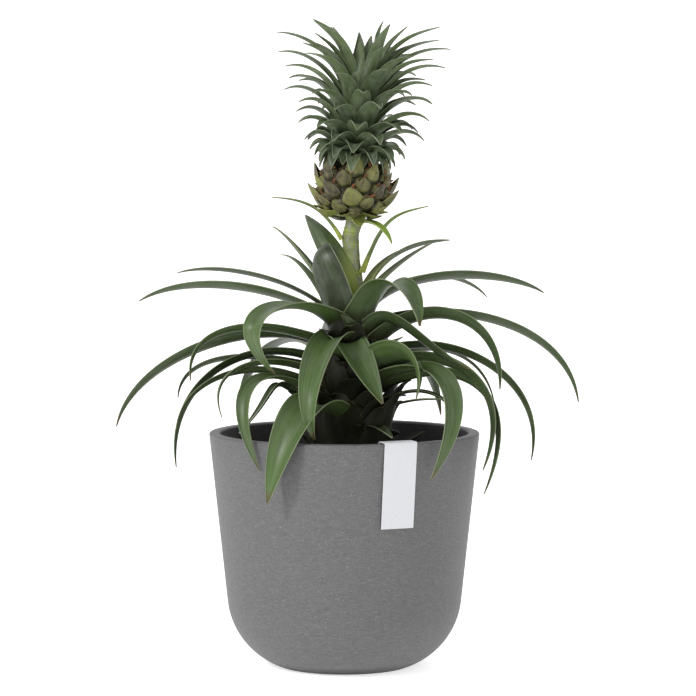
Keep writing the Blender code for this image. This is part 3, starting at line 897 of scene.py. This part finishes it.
def leaf_skin(name, dark, light, foot, tip, margin, bloom, bloom_share, roughness, width=16,
              foot_end=0.2):
    """width is a typical leaf's, in millimetres, and turns the vein spacing into V. foot_end is how
    far up the leaf its foot's colour runs out."""
    material, shader = new_material(name, roughness)
    uv = add_node(material, "TexCoord").outputs["UV"]
    tone = add_node(material, "Attribute", attribute_name="tone").outputs["Fac"]
    place = add_node(material, "SeparateXYZ", {"Vector": uv})
    along, across = place.outputs["X"], place.outputs["Y"]
    seed = add_node(material, "Math", {0: tone, 1: 37.0}, operation="MULTIPLY").outputs[0]
    # fine veins and broad streaks, both drawn out along the leaf
    vein_place = add_node(material, "Mapping", {"Vector": uv, "Scale": (1.2, width / VEIN_SPACING, 1)})
    veins = add_node(material, "TexNoise", {"Vector": vein_place.outputs[0], "W": seed, "Scale": 1.0,
                                            "Detail": 2.0}, noise_dimensions="4D").outputs["Fac"]
    streak_place = add_node(material, "Mapping", {"Vector": uv, "Scale": (2.5, width / STREAK_WIDTH, 1)})
    streaks = add_node(material, "TexNoise", {"Vector": streak_place.outputs[0], "W": seed, "Scale": 1.0,
                                              "Detail": 4.0}, noise_dimensions="4D").outputs["Fac"]
    spread = add_node(material, "MapRange", {"Value": streaks, "From Min": 0.3, "From Max": 0.7,
                                             "To Min": -0.28, "To Max": 0.28}).outputs[0]
    green = add_node(material, "Math", {0: tone, 1: spread}, operation="ADD", use_clamp=True).outputs[0]
    colour = add_node(material, "Mix", {0: green, 6: linear(dark), 7: linear(light)},
                      data_type="RGBA").outputs[2]
    # grey bloom in soft patches
    patch_place = add_node(material, "Mapping", {"Vector": uv, "Scale": (9, 3, 1)})
    patches = add_node(material, "TexNoise", {"Vector": patch_place.outputs[0], "W": seed, "Scale": 1.0,
                                              "Detail": 5.0}, noise_dimensions="4D").outputs["Fac"]
    bloomed = add_node(material, "MapRange", {"Value": patches, "From Min": 0.35, "From Max": 0.7,
                                              "To Min": 0.0, "To Max": bloom_share}).outputs[0]
    colour = add_node(material, "Mix", {0: bloomed, 6: colour, 7: linear(bloom)},
                      data_type="RGBA").outputs[2]
    # veins darken it a little
    shade = add_node(material, "ValToRGB", {"Fac": veins}, [(0.35, 0.72), (0.62, 1.0)]).outputs[0]
    colour = add_node(material, "Mix", {0: 0.6, 6: colour, 7: shade}, data_type="RGBA",
                      blend_type="MULTIPLY").outputs[2]
    # the foot's colour, pale on young leaves and dark painted shade on the rosette's older ones, and the dry
    # tip
    foot_colour_and_shade_share = add_node(material, "ValToRGB", {"Fac": along},
                          [(foot_end / 2, 0.9), (foot_end, 0.0)]).outputs[0]
    colour = add_node(material, "Mix", {0: foot_colour_and_shade_share, 6: colour, 7: linear(foot)},
                      data_type="RGBA").outputs[2]
    tip_share = add_node(material, "ValToRGB", {"Fac": along}, [(0.93, 0.0), (0.985, 0.9)]).outputs[0]
    colour = add_node(material, "Mix", {0: tip_share, 6: colour, 7: linear(tip)},
                      data_type="RGBA").outputs[2]
    # a pale line along each margin, with a dark one inside it
    centred = add_node(material, "Math", {0: across, 1: 0.5}, operation="SUBTRACT").outputs[0]
    edge = add_node(material, "Math", {0: centred}, operation="ABSOLUTE").outputs[0]
    dark_line = add_node(material, "ValToRGB", {"Fac": edge},
                         [(0.40, 1.0), (0.455, 0.62), (0.47, 1.0)]).outputs[0]
    colour = add_node(material, "Mix", {0: 0.7, 6: colour, 7: dark_line}, data_type="RGBA",
                      blend_type="MULTIPLY").outputs[2]
    pale_line = add_node(material, "ValToRGB", {"Fac": edge}, [(0.474, 0.0), (0.488, 0.5)]).outputs[0]
    colour = add_node(material, "Mix", {0: pale_line, 6: colour, 7: linear(margin)},
                      data_type="RGBA").outputs[2]
    coat(material, shader, colour, veins, 0.35, 0.3 * MM)
    return material


print("leaf skin recipe ready")

# %% [markdown]
# ### Skins for the rosette
# The upper face is a satin, waxy green. The underside is duller and greyer, because its scales lie
# closer, and it is made much darker than the upper face with painted shade, for undersides that face
# away from the light. The feet of the older leaves are painted shade too, near black where they go into
# the rosette. The youngest leaves are still yellow-green halfway up, where they have stood wrapped in the
# dark, and the old bases round the stem have browned and are darkened further with painted shade, for
# the shadowed heart of the rosette.

# %% Rosette skins
# painted shade: on this skin and the underside the foot colour is near black, for the shadow inside the
# rosette where the feet clasp the stem
leaf_top = leaf_skin("leaf_skin_green", "#252e18", "#567336", "#292c16", "#54452b", "#8a9470",
                     "#6a6f60", 0.36, 0.42)
# painted shade: the underside's green is far darker than the upper face's; its greyer bloom is its own
leaf_under_painted_shade = leaf_skin("leaf_skin_scurfy_underside_painted_shade", "#20241a", "#353c29", "#2e311d", "#54452b",
                       "#7d8860", "#4f524a", 0.45, 0.5)
young_top = leaf_skin("leaf_skin_young", "#2f3c22", "#5f7340", "#84923a", "#54452b", "#9aa56c",
                      "#656d5f", 0.3, 0.42, foot_end=0.5)
YOUNG = (32, 34, 41, 42)
for number, leaf in enumerate(rosette, 1):
    wear(leaf, young_top if number in YOUNG else leaf_top, leaf_under_painted_shade)
# partly the old bases' browning, partly painted shade: these near-black colours stand in for the deep shadow
# in the heart of the rosette
base_painted_shade_skin = leaf_skin("leaf_base_skin_old_painted_shade", "#17190d", "#2f331a", "#1f1a10", "#3c301e", "#4d5034",
                      "#3a3c30", 0.3, 0.55, 24)
wear(heart, base_painted_shade_skin, base_painted_shade_skin)
print("rosette skins on", len(rosette) + 1, "pieces")

# %% [markdown]
# ### Skins for the stalk, fruit and crown
# These leaves are younger than the rosette's: fresh and almost yellow on the stalk, and a bluish
# grey-green under a thick bloom on the crown. The fruitlets' bracts are olive with dry edges, and the
# petals have dried to brown paper.

# %% Bract, crown and fruitlet skins
bract_skin = leaf_skin("bract_skin_fresh", "#45532a", "#7c9930", "#a3ab45", "#4a3c24", "#9aa562",
                       "#7b816f", 0.2, 0.45, 7)
for bract in bracts:
    wear(bract, bract_skin, bract_skin)
crown_top = leaf_skin("crown_leaf_skin", "#354429", "#6b7d4a", "#5a692e", "#55543a", "#7f8b6c",
                      "#7b8473", 0.6, 0.45, 14)
crown_under = leaf_skin("crown_leaf_skin_underside", "#3a4632", "#59684a", "#56622e", "#55543a",
                        "#7d8867", "#7a8379", 0.7, 0.6, 14)
for whorl in crown:
    wear(whorl, crown_top, crown_under)
# partly painted shade: the near-black dark end and the dark foot colour stand in for the shadow in the
# crevices between the fruitlets
fruit_bract_skin_painted_shade = leaf_skin("fruit_bract_skin_painted_shade", "#1f1a0d", "#868c44", "#2c3012", "#22150c",
                             "#b5ac7c", "#6f6048", 0.45, 0.5, 8)
wear(fruit_bracts, fruit_bract_skin_painted_shade, fruit_bract_skin_painted_shade)
skirt_skin = leaf_skin("fruit_skirt_skin", "#49552a", "#7f8c3a", "#76842f", "#2a1a10", "#a39a6a",
                       "#7a7658", 0.3, 0.5, 10)
wear(fruit_skirt, skirt_skin, skirt_skin)
dry_skin = leaf_skin("dry_floret_skin", "#3a2212", "#9c6430", "#5a3a1c", "#1d120a", "#8a6238",
                     "#6a5a48", 0.2, 0.8, 3)
wear(dry_florets, dry_skin, dry_skin)
print("younger skins on", len(bracts) + len(crown) + 3, "pieces")

# %% [markdown]
# ### The fruit's rind
# The unripe fruitlets are olive with brownish, almost pink patches, and have a fine tough grain. The
# rind grew like that: soft patches of 9 mm come from one noise, and the grain from a finer one, which
# both darkens it in specks and gives it a little relief.

# %% Fruit rind
PATCH_SIZE = 9  # millimetres, as all such sizes below
RIND_GRAIN = 0.9
fruit_skin, shader = new_material("fruit_rind_unripe", 0.5)
spot = add_node(fruit_skin, "TexCoord").outputs["Object"]
patches = add_node(fruit_skin, "TexNoise", {"Vector": spot, "Scale": 1 / (PATCH_SIZE * MM),
                                            "Detail": 4.0}).outputs["Fac"]
rind = add_node(fruit_skin, "ValToRGB", {"Fac": patches},
                [(0.3, "#0f0e07"), (0.45, "#2a2813"), (0.56, "#3c3520"), (0.68, "#3c2619")]).outputs[0]
grain = add_node(fruit_skin, "TexNoise", {"Vector": spot, "Scale": 1 / (RIND_GRAIN * MM),
                                          "Detail": 3.0}).outputs["Fac"]
speck = add_node(fruit_skin, "ValToRGB", {"Fac": grain}, [(0.35, 0.65), (0.6, 1.0)]).outputs[0]
rind = add_node(fruit_skin, "Mix", {0: 0.6, 6: rind, 7: speck}, data_type="RGBA",
                blend_type="MULTIPLY").outputs[2]
coat(fruit_skin, shader, rind, grain, 0.4, 0.4 * MM)
wear(fruit, fruit_skin)
print("fruit rind made")

# %% [markdown]
# ### The stalk's skin
# The stalk is yellow-green just above each ring and duller further up, with a grey scurf of scales
# over it. The rings' colours follow the height, and the same spacing as the modelled rings. Noise
# pushes the height up and down by a few millimetres, because no ring on a plant is quite level.

# %% Stalk skin
DRIFT_SIZE = 14
DRIFT = 7
SCURF_SCALE = (300, 300, 160)  # specks of about 3 mm, twice as long up the stalk
stalk_skin, shader = new_material("stalk_skin_ringed", 0.5)
spot = add_node(stalk_skin, "TexCoord").outputs["Object"]
height = add_node(stalk_skin, "SeparateXYZ", {"Vector": spot}).outputs["Z"]
drift = add_node(stalk_skin, "TexNoise", {"Vector": spot, "Scale": 1 / (DRIFT_SIZE * MM)}).outputs["Fac"]
drift = add_node(stalk_skin, "Math", {0: drift, 1: DRIFT * MM}, operation="MULTIPLY").outputs[0]
height = add_node(stalk_skin, "Math", {0: height, 1: drift}, operation="ADD").outputs[0]
phase = add_node(stalk_skin, "Math", {0: height, 1: RING_FIRST * MM}, operation="SUBTRACT").outputs[0]
phase = add_node(stalk_skin, "Math", {0: phase, 1: RING_SPACING * MM}, operation="DIVIDE").outputs[0]
phase = add_node(stalk_skin, "Math", {0: phase}, operation="FRACT").outputs[0]
banded = add_node(stalk_skin, "ValToRGB", {"Fac": phase}, [
    (0.0, "#5b652e"), (0.06, "#8c9a46"), (0.4, "#75804e"), (0.75, "#727853"), (0.95, "#87934a"),
    (1.0, "#4f5728")]).outputs[0]
scurf_place = add_node(stalk_skin, "Mapping", {"Vector": spot, "Scale": SCURF_SCALE})
scurf = add_node(stalk_skin, "TexNoise", {"Vector": scurf_place.outputs[0], "Scale": 1.0,
                                          "Detail": 6.0}).outputs["Fac"]
scurf_share = add_node(stalk_skin, "ValToRGB", {"Fac": scurf}, [(0.48, 0.0), (0.6, 0.8)]).outputs[0]
colour = add_node(stalk_skin, "Mix", {0: scurf_share, 6: banded, 7: linear("#85867a")},
                  data_type="RGBA").outputs[2]
coat(stalk_skin, shader, colour, scurf, 0.3, 0.3 * MM)
wear(stalk, stalk_skin)
print("stalk skin made")

# %% [markdown]
# ### The stem's bark
# Under the leaves the two stems are brown, matt and corky, ringed with the scars of old leaves. The
# noise is squeezed along the height, which turns its spots into level scars.

# %% Stem bark
SCAR_SCALE = (90, 90, 400)  # scars about 11 mm long and 2.5 mm high
stem_bark, shader = new_material("stem_bark_old", 0.85)
spot = add_node(stem_bark, "TexCoord").outputs["Object"]
scar_place = add_node(stem_bark, "Mapping", {"Vector": spot, "Scale": SCAR_SCALE})
scars = add_node(stem_bark, "TexNoise", {"Vector": scar_place.outputs[0], "Scale": 1.0,
                                         "Detail": 5.0}).outputs["Fac"]
bark = add_node(stem_bark, "ValToRGB", {"Fac": scars},
                [(0.35, "#17130b"), (0.55, "#2b2416"), (0.7, "#40391f")]).outputs[0]
coat(stem_bark, shader, bark, scars, 0.6, 0.5 * MM)
for node in ("stem_base", "crown_stem"):
    wear(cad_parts[node], stem_bark)
print("stem bark made")

# %% [markdown]
# ### The planter's plastic
# The planter is moulded from recycled plastic with stone powder in it, and its outside is brushed
# round while it turns. That gives a matt, mid grey face with fine level scratches and pale flecks.
# The scratches are noise stretched along the level directions. Where the planter stands, the turn of
# its foot is darkened with painted shade, a contact shadow painted into the colour.

# %% Planter plastic
SCRATCH_HEIGHT = 0.6  # millimetres; real ones are finer, and would not show
SCRATCH_LENGTH = 5
FLECK_SIZE = 0.9
PAINTED_SHADE_HEIGHT = 8
planter_plastic, shader = new_material("planter_brushed_plastic", 0.62, 1.5)
spot = add_node(planter_plastic, "TexCoord").outputs["Object"]
brushed = add_node(planter_plastic, "Mapping", {"Vector": spot, "Scale": (
    1 / (SCRATCH_LENGTH * MM), 1 / (SCRATCH_LENGTH * MM), 1 / (SCRATCH_HEIGHT * MM))})
scratches = add_node(planter_plastic, "TexNoise", {"Vector": brushed.outputs[0], "Scale": 1.0,
                                                   "Detail": 5.0, "Roughness": 0.7}).outputs["Fac"]
grey = add_node(planter_plastic, "ValToRGB", {"Fac": scratches},
                [(0.25, "#4b4b4d"), (0.5, "#5b5b5c"), (0.75, "#6c6c6b")]).outputs[0]
fleck = add_node(planter_plastic, "TexNoise", {"Vector": spot, "Scale": 1 / (FLECK_SIZE * MM),
                                               "Detail": 4.0}).outputs["Fac"]
fleck_share = add_node(planter_plastic, "ValToRGB", {"Fac": fleck}, [(0.56, 0.0), (0.7, 0.5)]).outputs[0]
grey = add_node(planter_plastic, "Mix", {0: fleck_share, 6: grey, 7: linear("#8a8a8a")},
                data_type="RGBA").outputs[2]
# painted shade: towards the floor the grey darkens to near black at the bottom, as a contact shadow
height = add_node(planter_plastic, "SeparateXYZ", {"Vector": spot}).outputs["Z"]
low = add_node(planter_plastic, "MapRange", {"Value": height, "From Max": PAINTED_SHADE_HEIGHT * MM}).outputs[0]
painted_foot_shade = add_node(planter_plastic, "ValToRGB", {"Fac": low}, [(0.0, 0.08), (0.9, 1.0)]).outputs[0]
grey = add_node(planter_plastic, "Mix", {0: 1.0, 6: grey, 7: painted_foot_shade}, data_type="RGBA",
                blend_type="MULTIPLY").outputs[2]
coat(planter_plastic, shader, grey, scratches, 0.25, 0.2 * MM)
print("planter plastic made")

# %% [markdown]
# ### The planter's inside
# The inner wall was never brushed. It is the same plastic, plainer, with a faint mottle, and given a
# much darker grey, which is painted shade for the dim inside of the planter. Its faces are found by
# their place: below the rim, and turned to the axis.

# %% Inner plastic, darkened with painted shade
inner_painted_shade, shader = new_material("planter_inner_painted_shade", 0.7, 1.5)
spot = add_node(inner_painted_shade, "TexCoord").outputs["Object"]
mould = add_node(inner_painted_shade, "TexNoise", {"Vector": spot, "Scale": 1 / (2 * MM),
                                             "Detail": 4.0}).outputs["Fac"]
# painted shade: this dark grey stands in for the shadow inside the planter
dark = add_node(inner_painted_shade, "ValToRGB", {"Fac": mould}, [(0.35, "#2a2a2b"), (0.7, "#39393a")]).outputs[0]
coat(inner_painted_shade, shader, dark)
wear(planter, planter_plastic, inner_painted_shade)


def is_inner(face):
    """Whether a face of the planter belongs to its inner wall."""
    x, y, z = face.center
    below_rim = POT_WALL * 0.9 < z < POT_HEIGHT - 2 * RIM_ROUNDING
    within = math.hypot(x, y) < wall_radius(max(z, FOOT_ARC_HEIGHT), POT_WALL / 2)
    to_axis = face.normal.x * x + face.normal.y * y <= 0 and face.normal.z > -0.1
    return below_rim and within and to_axis


for face in planter.data.polygons:
    face.material_index = int(is_inner(face))
print("inner faces:", sum(face.material_index for face in planter.data.polygons))

# %% [markdown]
# ### The nursery pot's plastic
# Thin black polypropylene, blown over a form. It has a soft gloss and is scuffed to a dusty brown
# where it was handled.

# %% Nursery pot plastic
nursery_plastic, shader = new_material("nursery_pot_black_plastic", 0.4, 1.49)
spot = add_node(nursery_plastic, "TexCoord").outputs["Object"]
scuff = add_node(nursery_plastic, "TexNoise", {"Vector": spot, "Scale": 1 / (4 * MM),
                                               "Detail": 4.0}).outputs["Fac"]
black = add_node(nursery_plastic, "ValToRGB", {"Fac": scuff}, [(0.4, "#161616"), (0.7, "#2c2b29")]).outputs[0]
coat(nursery_plastic, shader, black)
wear(nursery, nursery_plastic)
print("nursery pot plastic made")

# %% [markdown]
# ### Peat
# Potting soil is milled peat with bits of bark. It is matt and dark brown, paler where a lump has
# dried, and every lump of about 3 mm stands up a little.

# %% Peat
peat, shader = new_material("potting_peat", 0.95)
spot = add_node(peat, "TexCoord").outputs["Object"]
lumps = add_node(peat, "TexNoise", {"Vector": spot, "Scale": 1 / (3 * MM), "Detail": 6.0}).outputs["Fac"]
brown = add_node(peat, "ValToRGB", {"Fac": lumps},
                 [(0.3, "#1b130c"), (0.5, "#332417"), (0.62, "#4b3826"), (0.75, "#6d5840")]).outputs[0]
coat(peat, shader, brown, lumps, 0.8, 1 * MM)
wear(soil, peat)
print("peat made")

# %% [markdown]
# ### The strap's card
# The label is coated card: smooth and white with the slightest unevenness of its fibres. Anything
# stronger would look like paint.

# %% Coated card
card, shader = new_material("label_card_coated", 0.45, 1.5)
spot = add_node(card, "TexCoord").outputs["Object"]
fibre = add_node(card, "TexNoise", {"Vector": spot, "Scale": 1 / (0.8 * MM), "Detail": 3.0}).outputs["Fac"]
white = add_node(card, "ValToRGB", {"Fac": fibre}, [(0.3, "#c6c7ca"), (0.7, "#cfd0d3")]).outputs[0]
coat(card, shader, white)
wear(label, card)
print("card made")

# %% [markdown]
# ## Studio
# A sweep of white paper, lit a little from behind, gives the plain background of a catalogue shot. It
# is a wide plane whose back edge is extruded upwards, with the corner rounded by a bevel.

# %% Sweep
SWEEP_HALF = 9
SWEEP_BACK = 4
SWEEP_RISE = 5
SWEEP_BEND = 1.5
bpy.ops.object.select_all(action="DESELECT")
bpy.ops.mesh.primitive_plane_add(size=2 * SWEEP_HALF, location=(0, SWEEP_BACK - SWEEP_HALF, 0))
floor = bpy.context.object
floor.name = "studio_sweep"
bpy.ops.object.transform_apply(location=True)
edit(floor)
select_where(floor, lambda place: place.y > SWEEP_BACK - 0.01)
bpy.ops.mesh.extrude_edges_move(TRANSFORM_OT_translate={"value": (0, 0, SWEEP_RISE)})
select_where(floor, lambda place: place.y > SWEEP_BACK - 0.01 and place.z < 0.01)
bpy.ops.mesh.bevel(offset=SWEEP_BEND, segments=16, affect="EDGES")
leave_edit()
smooth(floor)
paper, shader = new_material("studio_paper_backlit", 0.9)
shader.inputs["Base Color"].default_value = (0.85, 0.85, 0.85, 1)
shader.inputs["Emission Color"].default_value = (1, 1, 1, 1)
shader.inputs["Emission Strength"].default_value = 0.66
wear(floor, paper)
print("sweep:", len(floor.data.polygons), "faces")

# %% [markdown]
# ### Light
# White surroundings do most of the work and leave soft shadows between the leaves. A key light high
# on the left in front throws the leaves' shadows on the planter, and a weak one keeps the right open.

# %% World and lights
world = bpy.data.worlds.new("studio_white")
world.use_nodes = True
surroundings = world.node_tree.nodes["Background"]
surroundings.inputs["Color"].default_value = (1, 1, 1, 1)
surroundings.inputs["Strength"].default_value = 0.66
bpy.context.scene.world = world


def soft_light(name, place, aim, size, power):
    """A square light at a place, turned to its aim, with its size in metres and power in watts."""
    light = bpy.data.lights.new(name, "AREA")
    light.size = size
    light.energy = power
    lamp = bpy.data.objects.new(name, light)
    bpy.context.scene.collection.objects.link(lamp)
    lamp.location = place
    lamp.rotation_euler = (Vector(aim) - Vector(place)).to_track_quat("-Z", "Y").to_euler()


LIGHT_AIM = (0, 0, 0.25)
soft_light("key", (-1.5, -1.5, 1.7), LIGHT_AIM, 0.4, 34)
soft_light("fill", (1.6, -1.4, 0.9), LIGHT_AIM, 1.4, 1)
print("lights:", [light.name for light in bpy.data.lights])

# %% [markdown]
# ### Camera
# A long lens from over two metres away keeps the planter's sides true. It stands a little above the
# leaves and looks down by four degrees, so that the planter's mouth shows as a narrow oval.

# %% Camera
CAMERA_DISTANCE = 2.2
CAMERA_SIDE = 0.00265
CAMERA_HEIGHT = 0.3874
CAMERA_TILT = math.radians(86.02)
camera = bpy.data.cameras.new("portrait")
camera.lens = 154.8
camera_object = bpy.data.objects.new("portrait", camera)
bpy.context.scene.collection.objects.link(camera_object)
camera_object.location = (CAMERA_SIDE, -CAMERA_DISTANCE, CAMERA_HEIGHT)
camera_object.rotation_euler = (CAMERA_TILT, 0, 0)
bpy.context.scene.camera = camera_object
bpy.context.scene.view_settings.view_transform = "Standard"
print("camera ready")
